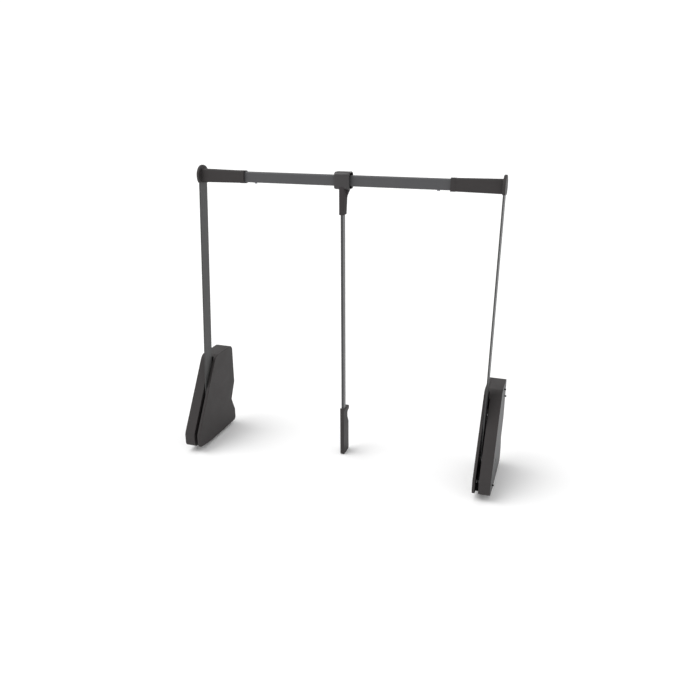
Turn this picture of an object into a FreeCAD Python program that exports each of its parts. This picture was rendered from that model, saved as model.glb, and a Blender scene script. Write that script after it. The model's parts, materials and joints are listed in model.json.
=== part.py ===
import FreeCAD, Part
import math
import os
import re
import Sketcher

# Pull down closet rod: two spring housings screwed to facing side walls, two swinging arms, and a
# telescopic oval rail between them with a pull handle.
# Frame: +X from the left wall to the right wall, +Y to the back of the closet, +Z up.
# Origin: centre of the left wall screw pattern, on the left wall.
# Everything on the right is the left piece mirrored about the middle of the span.

Vector = FreeCAD.Vector
doc = FreeCAD.newDocument("pull_down_closet_rod")
sheet = doc.addObject("Spreadsheet::Sheet", "Sizes")

sizes = [
    # Whole object
    ("span", 940),                 # wall to wall
    ("swing_range", 115),          # degrees, upright stop to pulled down stop
    ("slide_in", 28),              # each rail end, from the drawn place towards the arm
    ("slide_out", 50),             # each rail end, away from the arm
    # Housing outline, seen along X
    ("case_top", 139.8),
    ("case_bottom", -126.6),
    ("case_back", 75.8),
    ("case_front", -168.2),
    ("crown_front", -33.8),          # where the slanted front would meet the top
    ("slant_foot", -75.8),           # where the slanted front starts
    ("toe_height", -117.7),
    ("toe_back", -97.3),
    ("notch_top", 9.4),
    ("notch_depth_y", 50),
    ("notch_middle", -44),
    ("heel_back", 69),
    ("heel_top", -88.4),
    ("crown_radius", 28),
    ("back_radius", 17.4),
    ("waist_radius", 8),
    ("notch_radius", 6),
    ("heel_radius", 12),
    ("toe_radius", 14),
    ("bend_radius", 20),
    # Housing, across the wall
    ("case_depth", 32),
    ("case_wall", 2.5),
    ("case_edge", 1.2),
    ("slot_width", 10.2),
    ("cover_depth", 7.6),
    ("cover_wall", 2.5),
    ("cover_edge", 1.8),
    # Wall that closes the slot over the top and down the back
    ("seam_gap", 0.6),             # between the case's share and the cover's
    ("seam_place", 2),             # height of the cover's share
    ("strip_front", 1.8),          # its front end, behind the crown's corner
    ("strip_foot", 30),
    ("strip_round", 0.6),
    ("lip_width", 2.6),            # narrow lip in front of it, on the case only
    ("lip_drop", 19.8),            # below the top
    # Plates inside
    ("rim_gap", 0.3),              # wall plate to the inside of the case
    ("wall_plate", 2.5),
    ("side_plate", 2.5),
    ("plate_gap", 0.5),            # side plate to the case, across and all round
    # Wall fixing
    ("screw_spacing_y", 64),
    ("screw_spacing_z", 224),
    ("wall_hole", 2.75),           # radius
    ("peg_radius", 2.5),
    ("peg_length", 5),             # beyond the wall plate
    # Pivot
    ("pivot_y", -79),
    ("pivot_z", -50),
    ("running_gap", 0.05),         # radial, turning fits
    ("seat_gap", 0.05),            # radial, fixed fits
    ("shaft_radius", 7),
    ("journal_radius", 5.5),
    ("journal_inset", 0.8),        # shaft end behind the wall face
    ("stub_radius", 5),
    ("stub_length", 3.9),          # inside the cover
    ("flange_radius", 17),
    ("flange_gap", 0.6),
    ("spigot_radius", 9),
    ("flat_width", 11),            # across the two flats that drive the pinion
    ("boss_height", 6),
    ("boss_wall", 4),
    ("bush_wall", 2),
    ("rivet_radius", 2),
    ("rivet_circle", 13),          # radius
    ("rivet_head", 1.6),
    # Arm and its end fittings
    ("arm_length", 745),
    ("arm_lean", 5.1),             # degrees back from upright
    ("arm_width", 41),
    ("arm_thickness", 3.5),
    ("arm_gap", 2.1),              # arm to cover
    ("arm_edge", 0.5),
    ("disc_radius", 29.5),
    ("disc_thickness", 2.2),
    ("disc_edge", 1.1),
    ("disc_drop", 20.8),           # flat underside of the end cap, below the rail axis
    ("sleeve_end", 175.5),         # from the wall
    ("sleeve_root_height", 38),
    ("sleeve_root_depth", 28),
    ("sleeve_tip_height", 34.2),
    ("sleeve_tip_depth", 27),
    ("sleeve_round", 5),
    ("sleeve_collar_width", 1.7),  # root flange beyond the arm's face
    ("sleeve_rim", 12),            # raised band round the open end
    ("sleeve_rim_rise", 0.7),
    ("sleeve_floor", 6),
    ("sleeve_bore_depth", 17),
    ("end_screw_radius", 2.5),
    ("end_screw_pitch", 14),
    ("end_screw_head", 4),
    ("end_screw_cap", 1),          # head height
    ("end_screw_length", 20),
    # Rail
    ("rail_height", 30),
    ("rail_depth", 15),
    ("rail_round", 5.5),
    ("rail_wall", 1.5),
    ("rail_hold", 15),             # rail left in the sleeve when drawn right out
    ("slide_gap", 0.3),            # sliding fits of the tubes
    ("inner_wall", 1.5),
    ("inner_reach", 104),          # inner tube beyond the sleeve
    ("spigot_length", 20),
    ("set_screw_gap", 0.5),        # screw head to the sleeve when pushed right in
    ("set_screw_radius", 2.5),
    ("set_screw_head", 4),
    ("set_screw_head_height", 2.8),
    # Gear, rack and springs
    ("module", 2),
    ("teeth", 22),
    ("pressure_angle", 20),
    ("backlash", 0.15),
    ("gear_x", 9),
    ("gear_width", 12),
    ("rack_depth", 10),
    ("rack_end_margin", 10),
    ("yoke_rise", 30),             # underside of the yoke above the pivot
    ("yoke_height", 6),
    ("yoke_width", 15),
    ("yoke_reach", 56),
    ("guide_depth", 8),
    ("guide_gap", 0.3),
    ("spring_front", -12),
    ("spring_back", 16),
    ("spring_radius", 8.1),        # coil centre line
    ("spring_wire", 1.4),          # radius
    ("spring_turns", 16),
    ("spring_gap", 0.15),
    ("seat_drop", 14.8),           # underside of the spring seat below the top
    ("seat_thickness", 6),
    ("seat_front", -26),
    ("seat_reach", 58),
    ("guide_rod_radius", 4.5),
    ("guide_rod_tail", 10),
    ("guide_hole_gap", 0.5),
    ("damper_y", 46),
    ("damper_radius", 8),
    ("damper_wall", 1.4),
    ("damper_length", 77),
    ("damper_cap", 4),
    ("damper_rod", 2.5),
    ("piston_gap", 0.1),
    ("piston_height", 6),
    ("piston_gap_below", 2),       # piston to the end of the chamber, at rest
    # Posts, spacers and stops
    ("top_spacer_y", 17),          # in from the back
    ("top_spacer_z", 20),          # down from the top
    ("heel_spacer_y", 16.5),
    ("heel_spacer_z", 18),
    ("front_post_y", 22),          # in from the front
    ("front_post_z", 4),           # above the slanted front's foot
    ("low_post_y", 5),
    ("low_post_z", 12),            # above the bottom
    ("high_post_z", 110),          # above the pivot
    ("high_post_front", 19),       # behind the pivot
    ("high_post_back", 13),        # in from the back
    ("top_peg_y", 18),
    ("top_peg_z", 14),
    ("back_peg_y", 50),
    ("back_peg_z", 48),
    ("toe_peg_y", 42),
    ("toe_peg_z", 23),
    ("post_radius", 4),
    ("spacer_radius", 5),
    ("cover_screw", 2),
    ("cover_screw_head", 3.6),
    ("cover_screw_cap", 2.4),
    ("cover_screw_bite", 4),
    ("rubber_radius", 7),
    ("rubber_inset", 0.4),
    ("stop_gap", 0.3),
    ("up_stop_reach", 120),        # along the arm from the pivot
    ("down_stop_reach", 62),
    # Pull handle
    ("collar_width", 44),
    ("collar_front", 19.5),
    ("collar_back", 19),
    ("collar_rise", 24),
    ("collar_drop", 21.5),
    ("collar_round", 12),
    ("collar_edge", 2.5),
    ("collar_wall", 3),
    ("web_width", 16),
    ("bush_radius", 17.4),
    ("bush_split", 0.4),
    ("bush_seat", 0.05),
    ("socket_width", 14),
    ("socket_depth", 31),
    ("socket_bottom", -91),
    ("socket_round", 2.5),
    ("gusset_foot", -62),
    ("gusset_width", 27),
    ("gusset_back", 15),
    ("bar_width", 7),
    ("bar_depth", 20),
    ("bar_centre", -7),            # Y of the bar from the rail axis
    ("bar_top", -38),
    ("bar_bottom", -735),
    ("bar_edge", 0.8),
    ("bar_gap", 0.05),
    ("pin_radius", 2),
    ("pin_inset", 0.5),
    ("socket_pin", -72),
    ("grip_pin", -712),
    ("grip_width", 12),
    ("grip_front", -22.5),
    ("grip_back", 23.6),
    ("grip_bottom", -829),
    ("grip_shoulder", -673),
    ("shoulder_width", 8),
    ("grip_swell", -733),
    ("grip_neck", 13),
    ("grip_neck_low", -712),
    ("grip_neck_high", -696),
    ("horn_tip", 28),
    ("horn_low", -692),
    ("horn_top", -679),
    ("horn_front", 11),
    ("saddle", -684),
    ("saddle_y", 5),
    ("grip_round", 2.5),
]
names = {alias for alias, value in sizes}
for row, (alias, value) in enumerate(sizes, start=1):
    sheet.set("A%d" % row, alias)
    sheet.set("B%d" % row, str(value))
    sheet.setAlias("B%d" % row, alias)
doc.recompute()


def on_sheet(text):
    """The expression with every size name pointing at the sheet."""
    return re.sub(r"[A-Za-z_]\w*", lambda m: "Sizes." + m[0] if m[0] in names else m[0], text)


def number(text):
    return float(sheet.evalExpression(on_sheet(text)))


def bind(thing, path, text):
    thing.setExpression(path, on_sheet(text))


# Places that several pieces share, as expressions of the sizes

side_x = "(case_depth - case_wall - plate_gap - side_plate)"
arm_x = "(case_depth + slot_width - arm_gap - arm_thickness)"
arm_face = "(case_depth + slot_width - arm_gap)"
cover_x = "(case_depth + slot_width)"
rod_y = "(pivot_y + arm_length * sin(arm_lean))"
rod_z = "(pivot_z + arm_length * cos(arm_lean))"
middle = "(span / 2)"
seam_x = "(case_depth + slot_width - seam_place - seam_gap)"
sleeve_width = "(arm_thickness + sleeve_collar_width)"
inner_spare = "(rail_wall + slide_gap)"
bore_spare = "(rail_wall + slide_gap + inner_wall)"
gear_centre = "(gear_x + gear_width / 2)"
seat_height = "(case_top - seat_drop)"
rail_end = "(sleeve_end - slide_out - rail_hold)"
set_screw_place = "(sleeve_end + slide_in + set_screw_gap + set_screw_head)"
pitch_radius = "(module * teeth / 2)"
travel = "(%s * swing_range * pi / 180)" % pitch_radius
rack_y = "(pivot_y + %s)" % pitch_radius
rack_front = "(%s + 1.25 * module)" % rack_y
rack_back = "(%s + rack_depth)" % rack_front
yoke_z = "(pivot_z + yoke_rise)"
rack_foot = "(pivot_z - %s - rack_end_margin)" % travel

# Corners of the housing outline: Y, Z and the radius of each rounding, anticlockwise
housing_corners = [
    ("toe_back", "case_bottom", "bend_radius"),
    ("heel_back", "case_bottom", "heel_radius"),
    ("heel_back", "heel_top", "heel_radius"),
    ("notch_depth_y", "notch_middle", "notch_radius"),
    ("case_back", "notch_top", "waist_radius"),
    ("case_back", "case_top", "back_radius"),
    ("crown_front", "case_top", "crown_radius"),
    ("case_front", "slant_foot", "bend_radius"),
    ("case_front", "toe_height", "toe_radius"),
]

# The arm rests against a rubber stop behind it, and comes down onto one in front of the pivot
stop_side = "(arm_width / 2 + rubber_radius + stop_gap)"
down_angle = "(swing_range - arm_lean)"
up_stop = (
    "(pivot_y + up_stop_reach * sin(arm_lean) + %s * cos(arm_lean))" % stop_side,
    "(pivot_z + up_stop_reach * cos(arm_lean) - %s * sin(arm_lean))" % stop_side,
)
down_stop = (
    "(pivot_y - down_stop_reach * sin({a}) - {s} * cos({a}))".format(a=down_angle, s=stop_side),
    "(pivot_z + down_stop_reach * cos({a}) - {s} * sin({a}))".format(a=down_angle, s=stop_side),
)
spacer_places = [
    up_stop,
    down_stop,
    ("(case_back - top_spacer_y)", "(case_top - top_spacer_z)"),
    ("(heel_back - heel_spacer_y)", "(case_bottom + heel_spacer_z)"),
]
post_places = [
    ("(case_front + front_post_y)", "(slant_foot + front_post_z)"),
    ("low_post_y", "(case_bottom + low_post_z)"),
    ("(pivot_y + high_post_front)", "(pivot_z + high_post_z)"),
    ("(case_back - high_post_back)", "(pivot_z + high_post_z)"),
]
peg_places = [
    ("top_peg_y", "(case_top - top_peg_z)"),
    ("back_peg_y", "(case_top - back_peg_z)"),
    ("(case_front + toe_peg_y)", "(case_bottom + toe_peg_z)"),
]
hole_places = [
    ("(%s * screw_spacing_y / 2)" % side, "(%s * screw_spacing_z / 2)" % level)
    for side in ("-1", "1") for level in ("-1", "1")
]


# Sketch helpers. On a YZ plane sketch x is Y and sketch y is Z; on XY they are X and Y.

def origin_plane(body, role):
    for feature in body.Origin.OriginFeatures:
        if feature.Role == role:
            return feature
    raise ValueError(role)


def new_body(label):
    body = doc.addObject("PartDesign::Body", label)
    body.Label = label
    return body


def new_sketch(body, name, plane="YZ_Plane", offset="0"):
    sketch = body.newObject("Sketcher::SketchObject", name)
    sketch.AttachmentSupport = [(origin_plane(body, plane), "")]
    sketch.MapMode = "FlatFace"
    bind(sketch, "AttachmentOffset.Base.z", offset)
    return sketch


def hold(sketch, geometry, point, x, y):
    """Fix a point of the sketch at the named distances from its origin."""
    for kind, text in (("DistanceX", x), ("DistanceY", y)):
        place = sketch.addConstraint(Sketcher.Constraint(kind, -1, 1, geometry, point, number(text)))
        bind(sketch, "Constraints[%d]" % place, text)


def set_radius(sketch, geometry, radius):
    place = sketch.addConstraint(Sketcher.Constraint("Radius", geometry, number(radius)))
    bind(sketch, "Constraints[%d]" % place, radius)


def circle(sketch, x, y, radius):
    centre = Vector(number(x), number(y), 0)
    ring = sketch.addGeometry(Part.Circle(centre, Vector(0, 0, 1), number(radius)), False)
    hold(sketch, ring, 3, x, y)
    set_radius(sketch, ring, radius)


def polygon(sketch, corners):
    points = [Vector(number(x), number(y), 0) for x, y in corners]
    lines = []
    for here, there in zip(points, points[1:] + points[:1]):
        lines.append(sketch.addGeometry(Part.LineSegment(here, there), False))
    for line, after in zip(lines, lines[1:] + lines[:1]):
        sketch.addConstraint(Sketcher.Constraint("Coincident", line, 2, after, 1))
    for line, (x, y) in zip(lines, corners):
        hold(sketch, line, 1, x, y)


def rectangle(sketch, low_x, low_y, high_x, high_y):
    polygon(sketch, [(low_x, low_y), (high_x, low_y), (high_x, high_y), (low_x, high_y)])


def rounded_outline(sketch, corners):
    """Straight sides between named corners, each corner rounded by a tangent arc."""
    count = len(corners)
    points = [Vector(number(x), number(y), 0) for x, y, radius in corners]
    arrive, leave, arcs = [], [], []
    for i, (x, y, radius) in enumerate(corners):
        before = (points[i - 1] - points[i]).normalize()
        after = (points[(i + 1) % count] - points[i]).normalize()
        half_angle = before.getAngle(after) / 2
        reach = number(radius) / math.tan(half_angle)
        start = points[i] + before * reach
        end = points[i] + after * reach
        centre = points[i] + (before + after).normalize() * (number(radius) / math.sin(half_angle))
        convex = before.cross(after).z < 0
        first, last = (start, end) if convex else (end, start)
        angles = [math.atan2(p.y - centre.y, p.x - centre.x) for p in (first, last)]
        round_line = Part.Circle(centre, Vector(0, 0, 1), number(radius))
        arcs.append((sketch.addGeometry(Part.ArcOfCircle(round_line, *angles), False), convex))
        arrive.append(start)
        leave.append(end)
    lines = []
    for i in range(count):
        side = Part.LineSegment(leave[i], arrive[(i + 1) % count])
        lines.append(sketch.addGeometry(side, False))
    for i, (x, y, radius) in enumerate(corners):
        arc, convex = arcs[i]
        sketch.addConstraint(Sketcher.Constraint("Tangent", lines[i - 1], 2, arc, 1 if convex else 2))
        sketch.addConstraint(Sketcher.Constraint("Tangent", lines[i], 1, arc, 2 if convex else 1))
        set_radius(sketch, arc, radius)
        corner = sketch.addGeometry(Part.Point(points[i]), True)
        hold(sketch, corner, 1, x, y)
        sketch.addConstraint(Sketcher.Constraint("PointOnObject", corner, 1, lines[i - 1]))
        sketch.addConstraint(Sketcher.Constraint("PointOnObject", corner, 1, lines[i]))


def oval(sketch, spare="0"):
    """The rail's section, flat sided with rounded corners, made smaller all round by the spare."""
    corners = [("(%s * (rail_depth / 2 - %s))" % (a, spare), "(%s * (rail_height / 2 - %s))" % (b, spare),
                "max(0.5; rail_round - %s)" % spare)
               for a, b in (("-1", "-1"), ("1", "-1"), ("1", "1"), ("-1", "1"))]
    rounded_outline(sketch, corners)


def stadium(sketch, x, y, height, width):
    """Upright oval with straight sides."""
    lift = "((%s) - (%s)) / 2" % (height, width)
    radius = "(%s) / 2" % width
    high = Vector(number(x), number("%s + %s" % (y, lift)), 0)
    low = Vector(number(x), number("%s - (%s)" % (y, lift)), 0)
    wide = Vector(number(radius), 0, 0)
    up = Vector(0, 0, 1)
    top = sketch.addGeometry(Part.ArcOfCircle(Part.Circle(high, up, wide.x), 0, math.pi), False)
    bottom = sketch.addGeometry(
        Part.ArcOfCircle(Part.Circle(low, up, wide.x), math.pi, 2 * math.pi), False)
    left = sketch.addGeometry(Part.LineSegment(high - wide, low - wide), False)
    right = sketch.addGeometry(Part.LineSegment(low + wide, high + wide), False)
    for arc, level in ((top, "%s + %s" % (y, lift)), (bottom, "%s - (%s)" % (y, lift))):
        hold(sketch, arc, 3, x, level)
    set_radius(sketch, top, radius)
    for first, first_end, second, second_end in (
            (top, 2, left, 1), (left, 2, bottom, 1), (bottom, 2, right, 1), (right, 2, top, 1)):
        sketch.addConstraint(Sketcher.Constraint("Tangent", first, first_end, second, second_end))


# Feature helpers

def pad(body, sketch, name, length, backwards=False, both_ways=False):
    feature = body.newObject("PartDesign::Pad", name)
    feature.Profile = sketch
    feature.Reversed = backwards
    feature.Midplane = both_ways
    bind(feature, "Length", length)
    body.Tip = feature
    doc.recompute()
    return feature


def pocket(body, sketch, name, length=None, forwards=False, both_ways=False):
    """Cut against the sketch's normal, or along it when forwards; no length means all through."""
    before = body.Shape.Volume
    feature = body.newObject("PartDesign::Pocket", name)
    feature.Profile = sketch
    feature.Reversed = forwards
    feature.Midplane = both_ways
    if length is None:
        feature.Type = "ThroughAll"
    else:
        bind(feature, "Length", length)
    body.Tip = feature
    doc.recompute()
    if body.Shape.Volume > before - 0.01:
        raise ValueError("%s cuts nothing" % name)
    return feature


def fillet(body, name, radius, chosen):
    """Round the edges of the body's shape that the test picks."""
    base = body.Tip
    picked = ["Edge%d" % (i + 1) for i, edge in enumerate(base.Shape.Edges) if chosen(edge)]
    if not picked:
        raise ValueError("%s finds no edge" % name)
    feature = body.newObject("PartDesign::Fillet", name)
    feature.Base = (base, picked)
    bind(feature, "Radius", radius)
    body.Tip = feature
    doc.recompute()
    return feature


def lies_at_x(place):
    where = number(place)

    def chosen(edge):
        box = edge.BoundBox
        return abs(box.XMin - where) < 1e-4 and abs(box.XMax - where) < 1e-4
    return chosen


def lies_flat(edge):
    """True for an edge in a plane square to X."""
    return edge.BoundBox.XLength < 1e-4


def cylinder_x(name, x, length, y, z, radius):
    """Round bar along X from x."""
    bar = doc.addObject("Part::Cylinder", name)
    bar.Placement = FreeCAD.Placement(Vector(0, 0, 0), FreeCAD.Rotation(Vector(0, 1, 0), 90))
    for path, text in (("Placement.Base.x", x), ("Placement.Base.y", y), ("Placement.Base.z", z),
                       ("Height", length), ("Radius", radius)):
        bind(bar, path, text)
    return bar


def cylinder_z(name, x, y, z, length, radius):
    """Round bar upwards from z."""
    bar = doc.addObject("Part::Cylinder", name)
    for path, text in (("Placement.Base.x", x), ("Placement.Base.y", y), ("Placement.Base.z", z),
                       ("Height", length), ("Radius", radius)):
        bind(bar, path, text)
    return bar


def fuse(name, *shapes):
    joined = doc.addObject("Part::MultiFuse", name)
    joined.Shapes = list(shapes)
    return joined


def cut(name, base, tool):
    difference = doc.addObject("Part::Cut", name)
    difference.Base = base
    difference.Tool = tool
    return difference


def group(label, shapes):
    """Identical separate solids that share one node."""
    bundle = doc.addObject("Part::Compound", label)
    bundle.Links = shapes
    bundle.Label = label
    return bundle


def lean_about(thing, y, z):
    """Put a piece drawn upright round the X axis at this place, leaning back with the arm."""
    thing.Placement = FreeCAD.Placement(Vector(0, 0, 0), FreeCAD.Rotation(Vector(-1, 0, 0), 5))
    bind(thing, "Placement.Rotation.Angle", "arm_lean")
    bind(thing, "Placement.Base.y", y)
    bind(thing, "Placement.Base.z", z)


def housing_plate(label, x, thickness, inset):
    """Flat plate inside the housing outline, with no holes yet."""
    outline = doc.addObject("Sketcher::SketchObject", label + "_outline")
    outline.Placement = FreeCAD.Placement(Vector(0, 0, 0), FreeCAD.Rotation(Vector(1, 1, 1), 120))
    rounded_outline(outline, housing_corners)
    edge = doc.addObject("Part::Offset2D", label + "_edge")
    edge.Source = outline
    edge.Join = 2
    bind(edge, "Value", "-(%s)" % inset)
    sheet_metal = doc.addObject("Part::Extrusion", label + "_blank")
    sheet_metal.Base = edge
    sheet_metal.DirMode = "Custom"
    sheet_metal.Dir = Vector(1, 0, 0)
    sheet_metal.Solid = True
    bind(sheet_metal, "LengthFwd", thickness)
    bind(sheet_metal, "Placement.Base.x", x)
    return sheet_metal


def closing_wall(sketch, wall):
    """The wall that closes the arm slot: up the back, over the top and a little down the front."""
    run = "(crown_front - case_front)"
    rise = "(case_top - slant_foot)"
    slant = "sqrt(%s ^ 2 + %s ^ 2)" % (run, rise)
    lip_y = "(crown_front - lip_drop * %s / %s)" % (run, rise)
    rounded_outline(sketch, [
        ("case_back", "strip_foot", "strip_round"),
        ("case_back", "case_top", "back_radius"),
        ("crown_front", "case_top", "crown_radius"),
        (lip_y, "(case_top - lip_drop)", "strip_round"),
        ("(%s + %s * %s / %s)" % (lip_y, wall, rise, slant),
         "(case_top - lip_drop - %s * %s / %s)" % (wall, run, slant), "strip_round"),
        ("(crown_front + %s * (%s - %s) / %s)" % (wall, slant, run, rise), "(case_top - %s)" % wall,
         "(crown_radius - %s)" % wall),
        ("(case_back - %s)" % wall, "(case_top - %s)" % wall, "(back_radius - %s)" % wall),
        ("(case_back - %s)" % wall, "strip_foot", "strip_round"),
    ])


def open_front(body, name, x, length):
    """Cut the closing wall away in front of the crown, where the arm passes."""
    front = new_sketch(body, name, offset=x)
    rectangle(front, "case_front", "slant_foot", "crown_front + strip_front", "case_top + 1")
    pocket(body, front, name + "_cut", length, forwards=True)


# Housing pieces, fixed to the wall

def make_wall_plate(label):
    """Steel base plate with a boss for the pivot bush, four wall screw holes and three peg holes."""
    blank = housing_plate(label, "0", "wall_plate", "case_wall + rim_gap")
    boss_radius = "(journal_radius + running_gap + bush_wall + seat_gap + boss_wall)"
    boss = cylinder_x(label + "_boss", "0", "wall_plate + boss_height", "pivot_y", "pivot_z", boss_radius)
    bore_radius = "(journal_radius + running_gap + bush_wall + seat_gap)"
    tools = [cylinder_x(label + "_bore", "0", "wall_plate + boss_height", "pivot_y", "pivot_z", bore_radius)]
    for y, z in hole_places:
        tools.append(cylinder_x(label + "_hole", "0", "wall_plate", y, z, "wall_hole"))
    for y, z in peg_places:
        tools.append(cylinder_x(label + "_peg_hole", "0", "wall_plate", y, z, "peg_radius + seat_gap"))
    plate = cut(label, fuse(label + "_body", blank, boss), fuse(label + "_holes", *tools))
    plate.Label = label
    return plate


def make_wall_pegs(label):
    """Locating pegs that stand out of the wall plate into the wall."""
    pegs = [cylinder_x(label + "_peg", "-peg_length", "peg_length + wall_plate", y, z, "peg_radius")
            for y, z in peg_places]
    return group(label, pegs)


def make_case(label):
    """Deep plastic cover over the mechanism, open to the wall."""
    body = new_body(label)
    outline = new_sketch(body, label + "_outline")
    rounded_outline(outline, housing_corners)
    block = pad(body, outline, label + "_block", "case_depth")
    shell = body.newObject("PartDesign::Thickness", label + "_shell")
    wall_side = [i for i, face in enumerate(block.Shape.Faces) if face.BoundBox.XMax < 1e-4]
    shell.Base = (block, ["Face%d" % (wall_side[0] + 1)])
    shell.Reversed = True
    bind(shell, "Value", "case_wall")
    body.Tip = shell
    doc.recompute()
    if body.Shape.Volume > block.Shape.Volume * 0.6:
        raise ValueError("case isn't hollow")
    fillet(body, label + "_rounding", "case_edge", lies_at_x("case_depth"))
    strip = new_sketch(body, label + "_strip", offset="case_depth - case_wall")
    closing_wall(strip, "case_wall")
    pad(body, strip, label + "_strip_pad", seam_x + " - case_depth + case_wall")
    open_front(body, label + "_front", "case_depth + lip_width", "slot_width")
    holes = new_sketch(body, label + "_holes", offset="case_depth")
    circle(holes, "pivot_y", "pivot_z", "shaft_radius + running_gap + bush_wall + seat_gap")
    for y, z in spacer_places:
        circle(holes, y, z, "cover_screw + seat_gap")
    pocket(body, holes, label + "_hole_cut", "case_wall * 2")
    return body


def make_side_plate(label):
    """Steel plate that carries the pivot, guides and spacers on the arm side of the mechanism."""
    blank = housing_plate(label, side_x, "side_plate", "case_wall + plate_gap")
    bore = "(shaft_radius + running_gap + bush_wall + seat_gap)"
    tools = [cylinder_x(label + "_bore", side_x, "side_plate", "pivot_y", "pivot_z", bore)]
    for y, z in spacer_places:
        tools.append(cylinder_x(label + "_hole", side_x, "side_plate", y, z, "cover_screw + seat_gap"))
    plate = cut(label, blank, fuse(label + "_holes", *tools))
    plate.Label = label
    return plate


def make_standoffs(label):
    """Riveted posts that hold the two steel plates apart."""
    posts = [cylinder_x(label + "_post", "wall_plate", side_x + " - wall_plate", y, z, "post_radius")
             for y, z in post_places]
    return group(label, posts)


def make_bush(name, x, length, inside):
    ring = cylinder_x(name + "_ring", x, length, "pivot_y", "pivot_z", "%s + bush_wall" % inside)
    hole = cylinder_x(name + "_hole", x, length, "pivot_y", "pivot_z", inside)
    return cut(name, ring, hole)


def make_pivot_bushes(label):
    """Plain bushes in the wall plate, in the side plate and case, and in the cover."""
    at_wall = make_bush(label + "_wall", "0", "wall_plate + boss_height", "(journal_radius + running_gap)")
    at_side = make_bush(label + "_side", side_x, "case_depth - " + side_x, "(shaft_radius + running_gap)")
    at_cover = make_bush(label + "_cover", cover_x, "cover_depth - 1", "(stub_radius + running_gap)")
    return group(label, [at_wall, at_side, at_cover])


def make_cover(label):
    """Thin moulded cover on the room side of the arm slot."""
    body = new_body(label)
    outline = new_sketch(body, label + "_outline", offset=cover_x)
    rounded_outline(outline, housing_corners)
    block = pad(body, outline, label + "_block", "cover_depth")
    shell = body.newObject("PartDesign::Thickness", label + "_shell")
    slot_side = [i for i, face in enumerate(block.Shape.Faces)
                 if face.BoundBox.XMax < number(cover_x) + 1e-4]
    shell.Base = (block, ["Face%d" % (slot_side[0] + 1)])
    shell.Reversed = True
    bind(shell, "Value", "cover_wall")
    body.Tip = shell
    doc.recompute()
    bosses = new_sketch(body, label + "_bosses", offset=cover_x)
    circle(bosses, "pivot_y", "pivot_z", "stub_radius + running_gap + bush_wall + seat_gap + boss_wall")
    for y, z in spacer_places:
        circle(bosses, y, z, "spacer_radius")
    pad(body, bosses, label + "_boss", "cover_depth - 1")
    fillet(body, label + "_rounding", "cover_edge", lies_at_x(cover_x + " + cover_depth"))
    holes = new_sketch(body, label + "_holes", offset=cover_x)
    circle(holes, "pivot_y", "pivot_z", "stub_radius + running_gap + bush_wall + seat_gap")
    pocket(body, holes, label + "_bush_seat", "cover_depth - 1", forwards=True)
    screw_holes = new_sketch(body, label + "_screw_holes", offset=cover_x)
    for y, z in spacer_places:
        circle(screw_holes, y, z, "cover_screw + seat_gap")
    pocket(body, screw_holes, label + "_screw_cut", "cover_screw_bite + 0.5", forwards=True)
    strip = new_sketch(body, label + "_strip", offset=cover_x + " - seam_place")
    closing_wall(strip, "cover_wall")
    pad(body, strip, label + "_strip_pad", "seam_place + cover_wall")
    open_front(body, label + "_front", cover_x + " - seam_place", "seam_place")
    return body


def make_cover_spacers(label):
    """Steel tubes across the slot; the first two also stop the arm."""
    spacers = []
    for y, z in spacer_places:
        tube = cylinder_x(label + "_tube", "case_depth", "slot_width", y, z, "spacer_radius")
        hole = cylinder_x(label + "_hole", "case_depth", "slot_width", y, z, "cover_screw + seat_gap")
        spacers.append(cut(label + "_spacer", tube, hole))
    return group(label, spacers)


def make_cover_screws(label):
    """Screws from inside the housing, through plate, case and spacer into the cover."""
    screws = []
    shank_length = "(case_depth + slot_width + cover_screw_bite - %s)" % side_x
    for y, z in spacer_places:
        head = cylinder_x(label + "_head", side_x + " - cover_screw_cap", "cover_screw_cap", y, z,
                          "cover_screw_head")
        shank = cylinder_x(label + "_shank", side_x, shank_length, y, z, "cover_screw")
        screws.append(fuse(label + "_screw", head, shank))
    return group(label, screws)


def make_stop_rubbers(label):
    """Rubber rings on the two spacers that the arm comes to rest against."""
    rings = []
    start = "(%s - rubber_inset)" % arm_x
    length = "(arm_thickness + 2 * rubber_inset)"
    for y, z in (up_stop, down_stop):
        outside = cylinder_x(label + "_outside", start, length, y, z, "rubber_radius")
        inside = cylinder_x(label + "_inside", start, length, y, z, "spacer_radius + seat_gap")
        rings.append(cut(label + "_ring", outside, inside))
    return group(label, rings)


def make_rack_guide(label):
    """Plastic block that backs the rack and spans the two plates."""
    block = doc.addObject("Part::Box", label)
    block.Label = label
    for path, text in (("Placement.Base.x", "wall_plate"),
                       ("Placement.Base.y", rack_back + " + guide_gap"),
                       ("Placement.Base.z", rack_foot),
                       ("Length", side_x + " - wall_plate"),
                       ("Width", "guide_depth"),
                       ("Height", "%s - 2 * yoke_height - %s" % (yoke_z, rack_foot))):
        bind(block, path, text)
    return block


def make_spring_seat(label):
    """Steel bridge between the plates that the springs push against."""
    body = new_body(label)
    top = new_sketch(body, label + "_top", plane="XY_Plane", offset=seat_height)
    rectangle(top, "wall_plate", "seat_front", side_x, "seat_reach")
    pad(body, top, label + "_bridge", "seat_thickness")
    holes = new_sketch(body, label + "_holes", plane="XY_Plane", offset=seat_height)
    for y in ("spring_front", "spring_back"):
        circle(holes, gear_centre, y, "guide_rod_radius + seat_gap")
    pocket(body, holes, label + "_hole_cut", "seat_thickness", forwards=True)
    return body


def make_guide_rods(label):
    """Rods that hang from the seat through the springs and the yoke."""
    foot = "(%s - guide_rod_tail)" % yoke_z
    rods = [cylinder_z(label + "_rod", gear_centre, y, foot, seat_height + " + seat_thickness - " + foot,
                       "guide_rod_radius") for y in ("spring_front", "spring_back")]
    return group(label, rods)


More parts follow.
